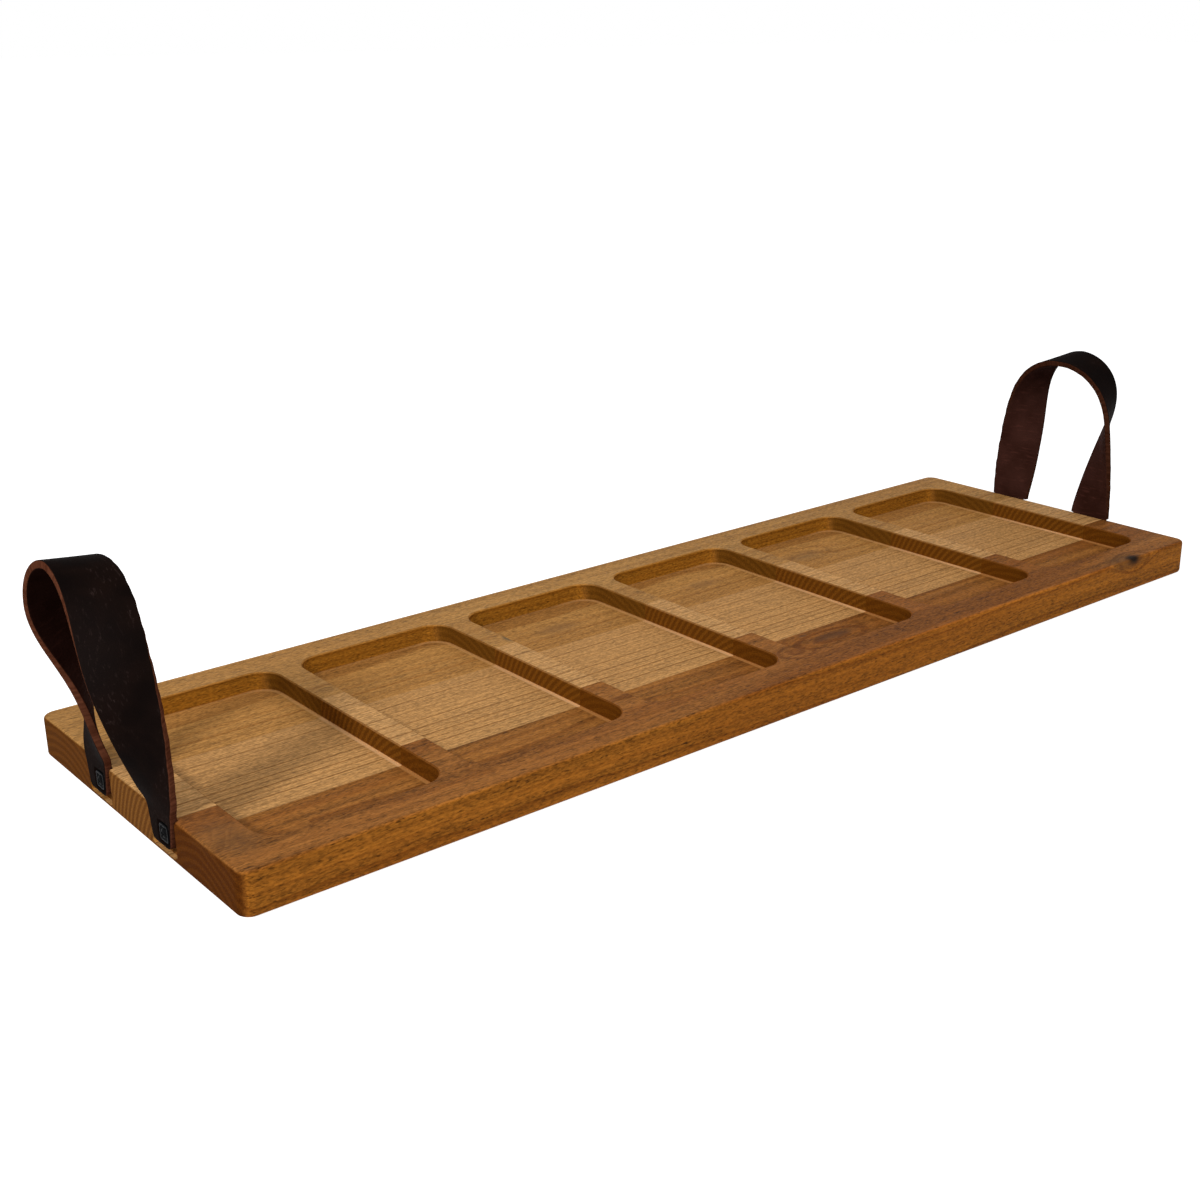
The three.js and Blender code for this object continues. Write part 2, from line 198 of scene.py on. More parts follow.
class NodeGraph:
    """Lays out a node tree. An input is a number, a colour or another node's output."""

    def __init__(self, tree):
        self.tree = tree

    def feed(self, socket, value):
        """Link a socket to an output, or set its value."""
        if isinstance(value, bpy.types.NodeSocket):
            self.tree.links.new(value, socket)
        elif socket.type == "RGBA":
            socket.default_value = (*value[:3], 1)
        else:
            socket.default_value = value

    def add(self, kind, inputs, **settings):
        """A new node with its settings made and its inputs fed."""
        node = self.tree.nodes.new(kind)
        for key, value in settings.items():
            setattr(node, key, value)
        for key, value in inputs.items():
            self.feed(node.inputs[key], value)
        return node

    def math(self, operation, *values):
        """One step of arithmetic on numbers."""
        return self.add("ShaderNodeMath", dict(enumerate(values)), operation=operation).outputs[0]

    def total(self, first, *rest):
        """All the values added."""
        for value in rest:
            first = self.math("ADD", first, value)
        return first

    def product(self, first, *rest):
        """All the values multiplied."""
        for value in rest:
            first = self.math("MULTIPLY", first, value)
        return first

    def vector(self, operation, first, second):
        """One step of arithmetic on two vectors."""
        return self.add("ShaderNodeVectorMath", {0: first, 1: second}, operation=operation)

    def blend(self, amount, first, second):
        """A number on the way from the first to the second."""
        inputs = {0: amount, 2: first, 3: second}
        return self.add("ShaderNodeMix", inputs, data_type="FLOAT").outputs[0]

    def mix(self, amount, first, second, mode="MIX"):
        """A colour on the way from the first to the second."""
        inputs = {0: amount, 6: first, 7: second}
        return self.add("ShaderNodeMix", inputs, data_type="RGBA", blend_type=mode).outputs[2]

    def tint(self, body, tint):
        """A colour that varies over the surface, multiplied by a tint or a tone."""
        return self.mix(1.0, body, tint, "MULTIPLY")

    def rise(self, value, start, end, low=0.0, high=1.0):
        """Low before start, high after end, and a smooth step between them."""
        inputs = {0: value, 1: start, 2: end, 3: low, 4: high}
        return self.add("ShaderNodeMapRange", inputs, interpolation_type="SMOOTHSTEP").outputs[0]

    def fall(self, value, start, end):
        """1 before start, 0 after end, and a smooth step between them."""
        return self.rise(value, start, end, 1.0, 0.0)

    def place(self):
        """The coordinates of the point that is shaded."""
        return self.add("ShaderNodeTexCoord", {})

    def split(self, vector):
        """A vector's three parts."""
        return self.add("ShaderNodeSeparateXYZ", {0: vector}).outputs

    def noise(self, place, repeats, detail=2.0, roughness=0.5):
        """Soft noise with this many features to a metre along each axis."""
        scaled = self.vector("MULTIPLY", place, repeats).outputs[0]
        inputs = {"Vector": scaled, "Scale": 1.0, "Detail": detail, "Roughness": roughness}
        return self.add("ShaderNodeTexNoise", inputs).outputs[0]

    def spot(self, place, centre, radii, core=0.0):
        """1 in an ellipsoid's core, falling smoothly to 0 on the ellipsoid of these radii."""
        shifted = self.vector("SUBTRACT", place, centre).outputs[0]
        scaled = self.vector("DIVIDE", shifted, radii).outputs[0]
        reach = self.vector("LENGTH", scaled, (0, 0, 0)).outputs["Value"]
        return self.fall(reach, core, 1.0)

    def seen(self):
        """1 for what the camera sees, also by a mirror or through glass, and 0 for plain light."""
        paths = self.add("ShaderNodeLightPath", {}).outputs
        seen = self.math("MAXIMUM", paths["Is Camera Ray"], paths["Is Glossy Ray"])
        return self.math("MAXIMUM", seen, paths["Is Transmission Ray"])

    def bump(self, height, amount, distance):
        """A normal that follows small heights."""
        inputs = {"Strength": amount, "Distance": distance, "Height": height}
        return self.add("ShaderNodeBump", inputs).outputs[0]


class FinishGraph(NodeGraph):
    """The node tree of one new material."""

    def __init__(self, name):
        self.material = bpy.data.materials.new(name)
        self.material.use_nodes = True
        super().__init__(self.material.node_tree)

    def finish(self, **inputs):
        """Feed the shader's sockets, named with underscores for spaces, and give the material."""
        shader = self.tree.nodes["Principled BSDF"]
        for key, value in inputs.items():
            self.feed(shader.inputs[key.replace("_", " ")], value)
        return self.material


# Usual reach of a noise, and how far a face is turned before it counts as a side or an end
NOISE_RANGE = (0.3, 0.7)
SIDE_FACING = (0.5, 0.9)
END_FACING = (0.45, 0.85)

# Features to a metre of the wood's noises, along X, Y and Z
WANDER = (3.2, 17, 17)
STREAKS = (4.5, 150, 150)
PATCHES = (4.2, 30, 30)
FIBRES = (22, 1000, 1000)
GRIT = (420, 1250, 1250)
DASHES = (210, 1300, 1300)
PORES = (900, 1500, 1500)

# Fine lines to a growth ring, and dark ovals in a knot
FINE_LINES = 2.37
OVALS = 2.2

# Tints of the wood in its knots, of the painted highlight on eased edges, and of the pale line at
# the foot of the compartments' walls and the painted shade line along their rims
KNOT_TINT = (0.25, 0.17, 0.15)
EASED_HIGHLIGHT_TINT = (1.25, 1.15, 0.9)
FLOOR_LINE_TINT = (1.45, 1.60, 2.10)
RIM_SHADE_TINT = (0.55, 0.46, 0.36)

# How far down the top's tint, paler sanded wood with a painted sheen, fades, and how far in from the
# board's ends the end grain isn't a wall's
EASED_DEPTH = 0.0008
END_DEPTH = 0.012

# A knot pushes the rings by its pull in metres, and a mark lays its colour over an ellipsoid
Knot = namedtuple("Knot", "centre radii pull strength")
Mark = namedtuple("Mark", "centre radii colour strength")

# A stave's look: pith in Y and Z, ring width and wander in metres, strengths, tints, knots and marks
WoodLook = namedtuple(
    "WoodLook",
    "pith ring_width wander line_start ring_strength streak_strength patch_strength dash_strength"
    " late patch end_light end_dark wall side top knots marks",
)

# The row of compartments, as the solids have it
COMPARTMENT_PITCH = 0.1115
COMPARTMENT_START = -0.327
COMPARTMENT_LENGTH = 0.0965
COMPARTMENT_WIDTH = 0.176
COMPARTMENT_CORNER = 0.0135
COMPARTMENT_FLOOR = 0.0115
ROW_HALF_LENGTH = -COMPARTMENT_START
ROW_MARGIN = 0.001

# Where the pale floor line and the painted shade line round a compartment set in and end, from its outline
FLOOR_LINE_INNER = (-0.0026, -0.0014)
FLOOR_LINE_OUTER = (0.0002, 0.001)
RIM_SHADE_INNER = (-0.0006, 0.0)
RIM_SHADE_OUTER = (0.0004, 0.0013)
RIM_SHADE_SHARE = 0.40

WOOD_LOOKS = {
    "front_wood": WoodLook(
        pith=(-0.072, -0.030),
        ring_width=0.0046,
        wander=0.018,
        line_start=0.42,
        ring_strength=0.80,
        streak_strength=0.18,
        patch_strength=0.75,
        dash_strength=0.42,
        late=(0.46, 0.36, 0.29),
        patch=(0.72, 0.61, 0.54),
        end_light=(0.33, 0.235, 0.10),
        end_dark=(0.25, 0.165, 0.06),
        wall=(1.56, 1.74, 1.34),
        side=(0.99, 0.88, 0.47),
        top=(0.94, 0.93, 1.0),
        knots=(
            Knot((0.056, -0.062, 0.0115), (0.048, 0.019, 0.016), 0.0175, 1.0),
            Knot((0.004, -0.083, 0.022), (0.022, 0.015, 0.012), 0.0095, 0.6),
            Knot((-0.200, -0.086, 0.022), (0.030, 0.014, 0.020), 0.010, 0.25),
            Knot((-0.318, -0.078, 0.022), (0.034, 0.026, 0.030), 0.012, 0.2),
            Knot((0.290, -0.108, 0.020), (0.030, 0.018, 0.014), 0.012, 0.4),
        ),
        marks=(
            Mark((0.282, -0.1070, 0.0215), (0.026, 0.013, 0.009), (0.11, 0.05, 0.016), 0.6),
            Mark((0.2895, -0.1085, 0.0214), (0.0085, 0.0058, 0.0050), (0.012, 0.006, 0.003), 1.0),
            Mark((-0.338, -0.076, 0.022), (0.016, 0.030, 0.006), (0.15, 0.070, 0.026), 0.45),
            Mark((-0.2018, -0.083, 0.022), (0.006, 0.0026, 0.004), (0.12, 0.06, 0.03), 0.7),
            Mark((0.060, -0.060, 0.0115), (0.024, 0.0065, 0.004), (0.085, 0.040, 0.018), 0.6),
            Mark((0.0453, -0.0491, 0.0115), (0.0055, 0.0018, 0.003), (0.10, 0.045, 0.02), 0.8),
        ),
    ),
    "middle_wood": WoodLook(
        pith=(-0.068, -0.026),
        ring_width=0.0037,
        wander=0.0034,
        line_start=0.60,
        ring_strength=0.95,
        streak_strength=0.05,
        patch_strength=0.15,
        dash_strength=0.18,
        late=(0.42, 0.34, 0.25),
        patch=(0.86, 0.80, 0.74),
        end_light=(0.41, 0.31, 0.18),
        end_dark=(0.25, 0.17, 0.085),
        wall=(0.91, 0.805, 0.36),
        side=(1.0, 1.0, 0.8),
        top=(1.10, 1.14, 1.22),
        knots=(),
        marks=(),
    ),
    "rear_wood": WoodLook(
        pith=(0.082, -0.052),
        ring_width=0.0046,
        wander=0.006,
        line_start=0.50,
        ring_strength=0.80,
        streak_strength=0.07,
        patch_strength=0.40,
        dash_strength=0.30,
        late=(0.60, 0.50, 0.40),
        patch=(0.82, 0.75, 0.68),
        end_light=(0.30, 0.20, 0.10),
        end_dark=(0.22, 0.14, 0.06),
        wall=(1.27, 1.5, 1.06),
        side=(0.78, 0.64, 0.23),
        top=(1.0, 1.06, 1.18),
        knots=(Knot((0.155, 0.060, 0.012), (0.045, 0.022, 0.020), 0.005, 0.2),),
        marks=(
            Mark((-0.1040, 0.0390, 0.022), (0.0042, 0.0085, 0.003), (0.10, 0.08, 0.045), 0.85),
            Mark((0.1550, 0.0560, 0.0115), (0.024, 0.010, 0.004), (0.20, 0.11, 0.045), 0.45),
            Mark((-0.0560, 0.0560, 0.0115), (0.022, 0.010, 0.004), (0.20, 0.10, 0.038), 0.5),
            Mark((0.0640, 0.0590, 0.0115), (0.020, 0.008, 0.004), (0.20, 0.10, 0.038), 0.45),
        ),
    ),
}


def ring_phase(graph, look, place):
    """Growth rings counted out from a pith line along X, and the share of the knots' dark ovals.

    The phase is the distance from the pith, plus what a slow noise and the knots push it by, over the
    ring width. A knot's ovals are a cosine of how near the knot is.
    """
    _, y, z = graph.split(place)
    from_pith_y = graph.math("SUBTRACT", y, look.pith[0])
    from_pith_z = graph.math("SUBTRACT", z, look.pith[1])
    squares = graph.total(
        graph.product(from_pith_y, from_pith_y), graph.product(from_pith_z, from_pith_z)
    )
    wander = graph.math("SUBTRACT", graph.noise(place, WANDER, 3.0), 0.5)
    reach = graph.total(graph.math("SQRT", squares), graph.product(wander, look.wander))
    figure = 0.0
    for knot in look.knots:
        near = graph.spot(place, knot.centre, knot.radii)
        reach = graph.total(reach, graph.product(near, knot.pull))
        turns = graph.product(graph.total(near, graph.product(wander, 0.5)), math.tau * OVALS)
        ovals = graph.rise(graph.math("COSINE", turns), -0.2, 0.7)
        dark = graph.product(ovals, graph.rise(near, 0.05, 0.25, 0.0, knot.strength))
        figure = graph.math("MAXIMUM", figure, dark)
    return graph.math("DIVIDE", reach, look.ring_width), figure


def ring_line(graph, look, phase):
    """Share of late wood at the end of each growth ring, by chance more in one ring than in the next."""
    ring = graph.math("FRACT", phase)
    line = graph.product(graph.rise(ring, look.line_start, 0.92), graph.fall(ring, 0.93, 1.0))
    number = graph.math("FLOOR", phase)
    chance = graph.add("ShaderNodeTexWhiteNoise", {"W": number}, noise_dimensions="1D").outputs[0]
    return graph.product(line, graph.rise(chance, 0.0, 1.0, 0.30, 1.0))


def end_grain(graph, look, wood, place, phase):
    """Colour of faces across the grain: full rings and pores, with a tint on the compartments' walls that
    is partly painted light and shade, since the walls in their recesses are lit unlike the board's ends.
    """
    from_middle = graph.math("ABSOLUTE", graph.split(place)[0])
    outside = graph.rise(from_middle, BOARD_HALF_LENGTH - END_DEPTH, BOARD_HALF_LENGTH - END_DEPTH / 3)
    swell = graph.math("COSINE", graph.product(phase, math.tau))
    line = graph.product(graph.rise(swell, -0.9, 0.7), graph.rise(outside, 0.0, 1.0, 0.8, 1.0))
    body = graph.mix(line, tinted(wood, look.end_light), tinted(wood, look.end_dark))
    body = graph.tint(body, graph.rise(graph.noise(place, PORES), *NOISE_RANGE, 0.76, 1.2))
    # The walls' tint is partly the end grain's own and partly painted light and shade of the recesses
    return graph.mix(outside, graph.tint(body, look.wall), body)


def wood_finish(name, look, wood):
    """Solid oiled wood: growth rings with finer lines between them, knots, patches and marks.

    Streaks, fibres, grit and short dashes are noise drawn out along X. Side faces, the top and faces across
    the grain have tints of their own; the sides' tint is partly painted shade, for the sheen that they lack,
    and the top's is partly a painted sheen. Eased edges get a painted highlight. A pale line follows the
    foot of each compartment's walls, and a painted shade line its rim.
    """
    graph = FinishGraph(name)
    coordinates = graph.place()
    place = coordinates.outputs["Object"]
    x, y, z = graph.split(place)
    facing = graph.split(coordinates.outputs["Normal"])
    across = graph.math("ABSOLUTE", facing[0])
    lean = graph.math("ABSOLUTE", facing[1])
    phase, figure = ring_phase(graph, look, place)
    line = ring_line(graph, look, phase)
    fibre = graph.noise(place, FIBRES, 3.0)
    grit = graph.noise(place, GRIT)
    dash = graph.rise(graph.noise(place, DASHES, 1.0), 0.58, 0.68)

    fine = graph.rise(graph.math("FRACT", graph.product(phase, FINE_LINES)), 0.45, 0.95, 0.0, 0.35)
    ring_share = graph.product(graph.math("MAXIMUM", line, fine), look.ring_strength)
    body = graph.mix(ring_share, wood, tinted(wood, look.late))
    body = graph.mix(figure, body, tinted(wood, KNOT_TINT))
    patch_share = graph.rise(graph.noise(place, PATCHES), 0.40, 0.66, 0.0, look.patch_strength)
    patch_share = graph.product(patch_share, graph.rise(lean, *SIDE_FACING, 1.0, 0.55))
    body = graph.mix(patch_share, body, tinted(wood, look.patch))
    streak = graph.noise(place, STREAKS)
    tone = graph.total(
        graph.rise(streak, *NOISE_RANGE, 1 - look.streak_strength, 1 + look.streak_strength),
        graph.rise(fibre, *NOISE_RANGE, -0.10, 0.10),
        graph.rise(grit, *NOISE_RANGE, -0.27, 0.27),
        graph.product(dash, -look.dash_strength),
    )
    body = graph.tint(body, tone)

    # Side faces: a tint that is partly the wood's own and partly painted shade, for the top's sheen that
    # they lack
    body = graph.mix(graph.rise(lean, *SIDE_FACING), body, graph.tint(body, look.side))
    # A painted highlight on the eased edges, between the top and the sides
    eased = graph.product(graph.rise(lean, 0.15, 0.4), graph.fall(lean, 0.6, 0.95))
    body = graph.mix(eased, body, graph.tint(body, EASED_HIGHLIGHT_TINT))
    # The top: paler sanded wood with a painted sheen
    top_pale_and_sheen = graph.rise(z, BOARD_TOP - EASED_DEPTH, BOARD_TOP - EASED_DEPTH / 4)
    body = graph.mix(top_pale_and_sheen, body, graph.tint(body, look.top))
    end_body = end_grain(graph, look, wood, place, phase)
    body = graph.mix(graph.rise(across, *END_FACING), body, end_body)

    for mark in look.marks:
        amount = graph.product(graph.spot(place, mark.centre, mark.radii, 0.25), mark.strength)
        body = graph.mix(amount, body, mark.colour)
    along, distance = from_compartment(graph, x, y)
    row_end = ROW_HALF_LENGTH + ROW_MARGIN
    in_row = graph.fall(graph.math("ABSOLUTE", x), row_end, row_end + ROW_MARGIN)
    pale = graph.product(floor_line(graph, along, distance, y, z), in_row)
    body = graph.mix(pale, body, tinted(wood, FLOOR_LINE_TINT))
    # A painted shade line along each compartment's rim
    rim = graph.product(rim_shade_line(graph, distance, z), in_row)
    body = graph.mix(rim, body, tinted(wood, RIM_SHADE_TINT))

    rough = graph.total(graph.rise(fibre, 0.25, 0.75, 0.52, 0.64), graph.product(across, 0.3))
    height = graph.total(fibre, grit, graph.product(dash, -1.2), graph.product(line, 0.5))
    return graph.finish(
        Base_Color=body,
        Roughness=rough,
        Specular_IOR_Level=0.03,
        Normal=graph.bump(height, 0.25, 0.0003),
    )


def from_compartment(graph, x, y):
    """How far along its compartment a point lies, and how far it is outside the compartment's outline.

    The outline is a rounded rectangle, repeated along X. The distance is the length of how far the point
    lies past the straight sides, or else how far it lies inside them, less the corner radius.
    """
    divider = COMPARTMENT_PITCH - COMPARTMENT_LENGTH
    from_start = graph.math("SUBTRACT", x, COMPARTMENT_START - divider / 2)
    from_divider = graph.math("FLOORED_MODULO", from_start, COMPARTMENT_PITCH)
    along = graph.math("SUBTRACT", from_divider, COMPARTMENT_PITCH / 2)
    reach_x = COMPARTMENT_LENGTH / 2 - COMPARTMENT_CORNER
    reach_y = COMPARTMENT_WIDTH / 2 - COMPARTMENT_CORNER
    past_x = graph.math("SUBTRACT", graph.math("ABSOLUTE", along), reach_x)
    past_y = graph.math("SUBTRACT", graph.math("ABSOLUTE", y), reach_y)
    outer_x = graph.math("MAXIMUM", past_x, 0.0)
    outer_y = graph.math("MAXIMUM", past_y, 0.0)
    squares = graph.total(graph.product(outer_x, outer_x), graph.product(outer_y, outer_y))
    within = graph.math("MINIMUM", graph.math("MAXIMUM", past_x, past_y), 0.0)
    distance = graph.total(graph.math("SQRT", squares), within)
    return along, graph.math("SUBTRACT", distance, COMPARTMENT_CORNER)


def floor_line(graph, along, distance, y, z):
    """Share of the pale line at the foot of the compartments' walls, fullest at the right and the front."""
    near_wall = graph.product(
        graph.rise(distance, *FLOOR_LINE_INNER), graph.fall(distance, *FLOOR_LINE_OUTER)
    )
    low = graph.fall(z, COMPARTMENT_FLOOR + 0.0002, COMPARTMENT_FLOOR + 0.0008)
    raised = graph.rise(z, COMPARTMENT_FLOOR - 0.0005, COMPARTMENT_FLOOR - 0.0001)
    at_right = graph.rise(along, 0.015, 0.046, 0.25, 1.0)
    fuller = graph.rise(y, -0.085, 0.085, 1.0, 0.5)
    return graph.product(near_wall, low, raised, at_right, fuller)


def rim_shade_line(graph, distance, z):
    """Share of the soft painted shade line along the rim of each compartment, where the cutter's edge was
    eased.
    """
    near_edge = graph.product(
        graph.rise(distance, *RIM_SHADE_INNER), graph.fall(distance, *RIM_SHADE_OUTER)
    )
    high = graph.rise(z, BOARD_TOP - 0.0012, BOARD_TOP - 0.0004)
    return graph.product(near_edge, high, RIM_SHADE_SHARE)


# Features to a metre of the leather's noises: in space, or along and across the strap
CLOUDS = (55, 55, 55)
HAIR_GRAIN = (1500, 1500, 1500)
WRINKLES = (640, 85, 0)
SCUFFS = (260, 700, 0)
EDGE_FUZZ = (520, 2600, 0)

# Tints of the leather's three colours, of the painted sheen outside and of the painted glints on the
# inside's wrinkles
OUTER_CLOUD_TINT = (1.9, 1.6, 1.4)
OUTER_SHEEN_TINT = (2.6, 2.9, 3.0)
OUTER_SCUFF_TINT = (7.0, 7.0, 7.0)
INNER_CLOUD_TINT = (0.6, 0.55, 0.5)
INNER_WRINKLE_GLINT_TINT = (1.9, 1.8, 1.8)
EDGE_FUZZ_TINT = (0.5, 0.45, 0.42)

# The patch of painted sheen and scuffs on the left strap, and the band of X between the two straps
SHEEN_SCUFF_CENTRE = (-0.372, -0.022, 0.098)
SHEEN_SCUFF_RADII = (0.03, 0.026, 0.036)
LEFT_TO_RIGHT = (-0.1, 0.1)

# How far the side attribute goes from the inside to the outside, and from an edge to a face
INSIDE_TO_OUTSIDE = (-0.2, 0.2)
EDGE_TO_FACE = (0.55, 0.9)


def leather_finish(colours):
    """Dyed strap leather: a smooth dark outside, a wrinkled red-brown inside and raw fibrous edges.

    The strap's side attribute is 1 outside, 0 on the edges and -1 inside. Its UV map holds metres along
    and across the strap, so wrinkles lie across it, with painted glints on them inside. The left strap is
    darker inside by painted shade, has paler edges and a patch of painted sheen and scuffs near its crown,
    and both are darker inside towards the crown by painted shade.
    """
    graph = FinishGraph("strap_leather")
    place = graph.place().outputs["Object"]
    x, _, z = graph.split(place)
    side = graph.add("ShaderNodeAttribute", {}, attribute_name="strap_side").outputs["Fac"]
    flat = graph.add("ShaderNodeUVMap", {}, uv_map="strap").outputs[0]

    cloud = graph.noise(place, CLOUDS, 3.0)
    cloudy = graph.rise(cloud, *NOISE_RANGE)
    grain = graph.noise(place, HAIR_GRAIN, 3.0, 0.6)
    wrinkle = graph.noise(flat, WRINKLES, 3.0, 0.6)
    # The left strap's patch near its crown, called rubbed here: a painted sheen, and more scuffs
    rubbed = graph.spot(place, SHEEN_SCUFF_CENTRE, SHEEN_SCUFF_RADII)
    scuff = graph.rise(graph.noise(flat, SCUFFS, 4.0, 0.7), 0.55, 0.68)
    scuff = graph.product(scuff, graph.math("MAXIMUM", graph.rise(cloud, 0.45, 0.62), rubbed))

    outer = colours.leather_outer
    outside = graph.mix(cloudy, outer, tinted(outer, OUTER_CLOUD_TINT))
    # Painted sheen on that patch
    outside = graph.mix(graph.product(rubbed, 0.7), outside, tinted(outer, OUTER_SHEEN_TINT))
    outside = graph.mix(graph.product(scuff, 0.8), outside, tinted(outer, OUTER_SCUFF_TINT))
    inner = colours.leather_inner
    inside = graph.mix(cloudy, inner, tinted(inner, INNER_CLOUD_TINT))
    # Painted glints on the inside's wrinkles
    wrinkled = graph.rise(wrinkle, 0.52, 0.72, 0.0, 0.5)
    inside = graph.mix(wrinkled, inside, tinted(inner, INNER_WRINKLE_GLINT_TINT))
    # Painted shade inside: darker on the left strap, and darker towards the crown
    inside_shade = graph.product(
        graph.rise(x, *LEFT_TO_RIGHT, 0.42, 1.0), graph.rise(z, 0.07, 0.125, 1.1, 0.6)
    )
    inside = graph.tint(inside, inside_shade)
    raw = colours.leather_edge
    fuzz = graph.rise(graph.noise(flat, EDGE_FUZZ, 3.0, 0.6), *NOISE_RANGE)
    edge = graph.mix(fuzz, tinted(raw, EDGE_FUZZ_TINT), raw)
    edge = graph.tint(edge, graph.rise(x, *LEFT_TO_RIGHT, 1.0, 0.5))
    face = graph.mix(graph.rise(side, *INSIDE_TO_OUTSIDE), inside, outside)
    flatness = graph.rise(graph.math("ABSOLUTE", side), *EDGE_TO_FACE)

    within = graph.fall(side, *INSIDE_TO_OUTSIDE)
    rough_face = graph.total(
        graph.rise(cloud, *NOISE_RANGE, 0.48, 0.6), graph.product(within, 0.06)
    )
    folds = graph.product(wrinkle, graph.rise(within, 0.0, 1.0, 0.25, 1.0))
    height = graph.total(graph.product(grain, 0.35), folds)
    return graph.finish(
        Base_Color=graph.mix(flatness, edge, face),
        Roughness=graph.blend(flatness, 0.85, rough_face),
        Specular_IOR_Level=0.002,
        Normal=graph.bump(height, 0.45, 0.0005),
    )


# Features to a metre of the steel's speckle, and tints of its colour
STEEL_SPECKLES = (1800, 1800, 1800)
STEEL_DULL_TINT = (0.6, 0.6, 0.6)
STEEL_WORN_TINT = (2.2, 2.2, 2.2)


def steel_finish(colours):
    """Satin black steel. The worn attribute says how far the black is rubbed thin along the edges."""
    graph = FinishGraph("black_steel")
    place = graph.place().outputs["Object"]
    worn = graph.add("ShaderNodeAttribute", {}, attribute_name="worn").outputs["Fac"]
    speckle = graph.noise(place, STEEL_SPECKLES, 3.0)
    rubbed = graph.product(worn, graph.rise(speckle, 0.35, 0.6, 0.35, 1.0))
    dull = tinted(colours.steel, STEEL_DULL_TINT)
    body = graph.mix(graph.rise(speckle, *NOISE_RANGE), colours.steel, dull)
    body = graph.mix(rubbed, body, tinted(colours.steel, STEEL_WORN_TINT))
    return graph.finish(
        Base_Color=body,
        Roughness=graph.rise(speckle, *NOISE_RANGE, 0.36, 0.5),
        Specular_IOR_Level=0.02,
        Normal=graph.bump(speckle, 0.15, 0.0002),
    )


# Meshes


def grid_quads(rows, columns):
    """Quads of a grid whose columns close into a ring."""
    row = np.arange(rows - 1)[:, None]
    column = np.arange(columns)[None, :]
    after = (column + 1) % columns
    start = row * columns
    above = start + columns
    quads = np.stack([start + column, start + after, above + after, above + column], -1)
    return quads.reshape(-1, 4)


def closed_tube(rings):
    """Vertices and faces of a row of rings, closed at both ends by a fan to the end ring's middle."""
    rows, columns = rings.shape[:2]
    points = np.concatenate([rings.reshape(-1, 3), rings[[0, -1]].mean(axis=1)])
    first = np.arange(columns)
    second = (first + 1) % columns
    last = (rows - 1) * columns
    near_cap = np.stack([second, first, np.full(columns, rows * columns)], -1)
    far_cap = np.stack([last + first, last + second, np.full(columns, rows * columns + 1)], -1)
    return points, grid_quads(rows, columns), np.concatenate([near_cap, far_cap])


def outward(points, quads, triangles):
    """The same faces, turned round if the volume that they enclose comes out negative."""
    corners = np.concatenate([quads[:, [0, 1, 2]], quads[:, [0, 2, 3]], triangles])
    a, b, c = (points[corners[:, index]] for index in range(3))
    if np.einsum("ij,ij->", a, np.cross(b, c)) < 0:
        return quads[:, ::-1], triangles[:, ::-1]
    return quads, triangles


def add_object(name, mesh, material):
    """A finished piece, at the origin and unturned."""
    mesh.materials.append(material)
    piece = bpy.data.objects.new(name, mesh)
    bpy.context.scene.collection.objects.link(piece)
    return piece


def tube_piece(name, rings, material, attribute_name, ring_values):
    """A smooth closed piece from rings, with one attribute that has a value for each ring point."""
    points, quads, triangles = closed_tube(rings)
    quads, triangles = outward(points, quads, triangles)
    mesh = bpy.data.meshes.new(name)
    mesh.from_pydata(points.tolist(), [], quads.tolist() + triangles.tolist())
    mesh.polygons.foreach_set("use_smooth", np.ones(len(mesh.polygons), bool))
    attribute = mesh.attributes.new(attribute_name, "FLOAT", "POINT")
    ends = ring_values[[0, -1]].mean(axis=1)
    whole = np.concatenate([ring_values.reshape(-1), ends]).astype(np.float32)
    attribute.data.foreach_set("value", whole)
    return add_object(name, mesh, material)


# Staves

MERGE_DISTANCE = 1e-6
SHARP_ANGLE = math.radians(32)


def merged_copy(name, node):
    """A copy of a solid's mesh with the corners that its triangles share made one."""
    source = frame["nodes"][node].data
    points = np.empty(len(source.vertices) * 3)
    source.vertices.foreach_get("co", points)
    corners = np.empty(len(source.loops), int)
    source.loops.foreach_get("vertex_index", corners)
    steps = np.round(points.reshape(-1, 3) / MERGE_DISTANCE).astype(int)
    places, number = np.unique(steps, axis=0, return_inverse=True)
    faces = number.reshape(-1)[corners].reshape(-1, 3)
    whole = (faces != np.roll(faces, 1, axis=1)).all(axis=1)
    mesh = bpy.data.meshes.new(name)
    mesh.from_pydata((places * MERGE_DISTANCE).tolist(), [], faces[whole].tolist())
    mesh.polygons.foreach_set("use_smooth", np.ones(len(mesh.polygons), bool))
    mesh.set_sharp_from_angle(angle=SHARP_ANGLE)
    return mesh


class TRAY_OT_dress_staves(bpy.types.Operator):
    """Put a wood-grained copy in the place of each stave's plain solid"""

    bl_idname = "tray.dress_staves"
    bl_label = "Dress Staves"

    def execute(self, context):
        colours = context.scene.tray_colours
        for node, slot in STAVES.items():
            material = wood_finish(slot, WOOD_LOOKS[slot], getattr(colours, slot))
            piece = add_object(f"grained_{node}", merged_copy(f"grained_{node}", node), material)
            evened = piece.modifiers.new("Even normals", "WEIGHTED_NORMAL")
            evened.keep_sharp = True
            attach(piece, "board")
            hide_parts(node)
        return {"FINISHED"}


# Straps

# Steps along a leg, round its tail's end, across a face and round an edge
LEG_STEPS = 170
TAIL_END_STEPS = 14
FACE_STEPS = 36
CORNER_STEPS = 5

# Half the length of the bend at the board's edge
BEND_LINE_HALF = 0.006

# Ripples of the cut edge: height in metres, turn to a metre and start, and the length where they set in
EDGE_RIPPLES = ((0.00012, 410, 0), (0.00008, 930, 1))
RIPPLE_START = (0.02, 0.03)

# Margins round the plate between which the leather is pressed in
HOLLOW_MARGINS = (0.0002, 0.0018)

